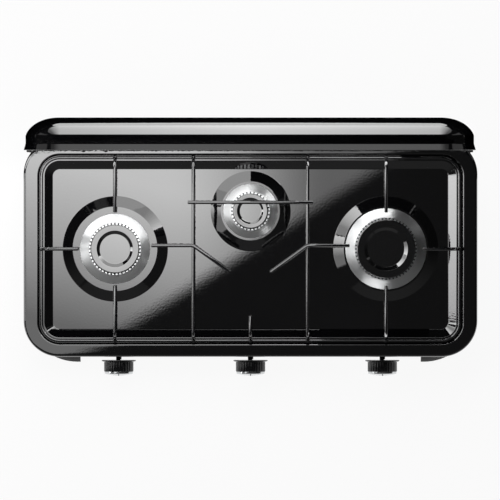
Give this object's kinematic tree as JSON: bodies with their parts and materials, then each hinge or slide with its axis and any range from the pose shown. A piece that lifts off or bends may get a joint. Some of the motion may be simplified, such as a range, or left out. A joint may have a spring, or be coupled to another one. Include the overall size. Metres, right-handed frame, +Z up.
{
  "type": "gas hob",
  "caption": "Tabletop gas hob with a hinged lid, a lift-off wire pan support over the burners, and press-and-turn tap knobs along the front.",
  "frame": {"origin": "middle of the footprint on the table, under the open hob", "axes": "+X to the right seen from the knobs, +Y to the rear where the lid is hinged, +Z up"},
  "size_m": [0.66, 0.3744, 0.3865],
  "materials": {
    "enamel": "gloss black vitreous enamel",
    "zinc_steel": "galvanised",
    "steel": "plated",
    "foot_plastic": "matte",
    "rubber": "matte",
    "brass": "machined",
    "aluminium": "turned",
    "knob_plastic": "gloss",
    "knob_metal": "satin bright"
  },
  "bodies": {
    "base": {"top_plate": "enamel", "left_cap": "enamel", "middle_cap": "enamel", "right_cap": "enamel", "base_tray": "enamel", "hinge_base_left": "enamel", "hinge_base_right": "enamel", "gas_rail": "zinc_steel", "rail_brackets": "zinc_steel", "inlet_pipe": "zinc_steel", "tray_posts": "steel", "tray_screws": "steel", "foot_screws": "steel", "cup_screws": "steel", "hinge_pins": "steel", "hinge_screws": "steel", "foot_front_left": "foot_plastic", "foot_front_right": "foot_plastic", "foot_rear_left": "foot_plastic", "foot_rear_right": "foot_plastic", "foot_pads": "rubber", "rail_plug": "brass", "rail_elbow": "brass", "hose_tail": "brass", "hose_nut": "brass", "left_tap_body": "brass", "middle_tap_body": "brass", "right_tap_body": "brass", "tap_bonnets": "brass", "injectors": "brass", "supply_pipes": "aluminium", "left_cup": "aluminium", "middle_cup": "aluminium", "right_cup": "aluminium", "left_head": "aluminium", "middle_head": "aluminium", "right_head": "aluminium"},
    "lid": {"lid_shell": "enamel", "lid_leaf_left": "steel", "lid_leaf_right": "steel", "lid_rivets": "steel", "lid_buffers": "rubber"},
    "grate": {"grate_frame": "enamel", "grate_wires": "enamel", "grate_fingers": "enamel"},
    "left_tap": {"left_plug": "brass", "left_spring": "steel"},
    "left_control": {"left_spindle": "steel", "left_knob": "knob_plastic", "left_knob_cap": "knob_metal"},
    "middle_tap": {"middle_plug": "brass", "middle_spring": "steel"},
    "middle_control": {"middle_spindle": "steel", "middle_knob": "knob_plastic", "middle_knob_cap": "knob_metal"},
    "right_tap": {"right_plug": "brass", "right_spring": "steel"},
    "right_control": {"right_spindle": "steel", "right_knob": "knob_plastic", "right_knob_cap": "knob_metal"}
  },
  "joints": [
    {"name": "lid_hinge", "type": "hinge", "parent": "base", "child": "lid", "pos_m": [0, 0.1505, 0.0865], "axis": [1, 0, 0], "range_deg": [0, 90]},
    {"name": "grate_lift", "type": "slide", "parent": "base", "child": "grate", "axis": [0, 0, 1], "range_m": [0, 0.008]},
    {"name": "left_tap_turn", "type": "hinge", "parent": "base", "child": "left_tap", "pos_m": [-0.192, -0.12, 0.044], "axis": [0, -1, 0], "range_deg": [0, 190]},
    {"name": "left_knob_press", "type": "slide", "parent": "left_tap", "child": "left_control", "axis": [0, 1, 0], "range_m": [0, 0.003], "stiffness_N_per_m": 900, "springref_m": -0.004, "deforming": ["left_spring"]},
    {"name": "middle_tap_turn", "type": "hinge", "parent": "base", "child": "middle_tap", "pos_m": [0, -0.12, 0.044], "axis": [0, -1, 0], "range_deg": [0, 190]},
    {"name": "middle_knob_press", "type": "slide", "parent": "middle_tap", "child": "middle_control", "axis": [0, 1, 0], "range_m": [0, 0.003], "stiffness_N_per_m": 900, "springref_m": -0.004, "deforming": ["middle_spring"]},
    {"name": "right_tap_turn", "type": "hinge", "parent": "base", "child": "right_tap", "pos_m": [0.192, -0.12, 0.044], "axis": [0, -1, 0], "range_deg": [0, 190]},
    {"name": "right_knob_press", "type": "slide", "parent": "right_tap", "child": "right_control", "axis": [0, 1, 0], "range_m": [0, 0.003], "stiffness_N_per_m": 900, "springref_m": -0.004, "deforming": ["right_spring"]}
  ]
}
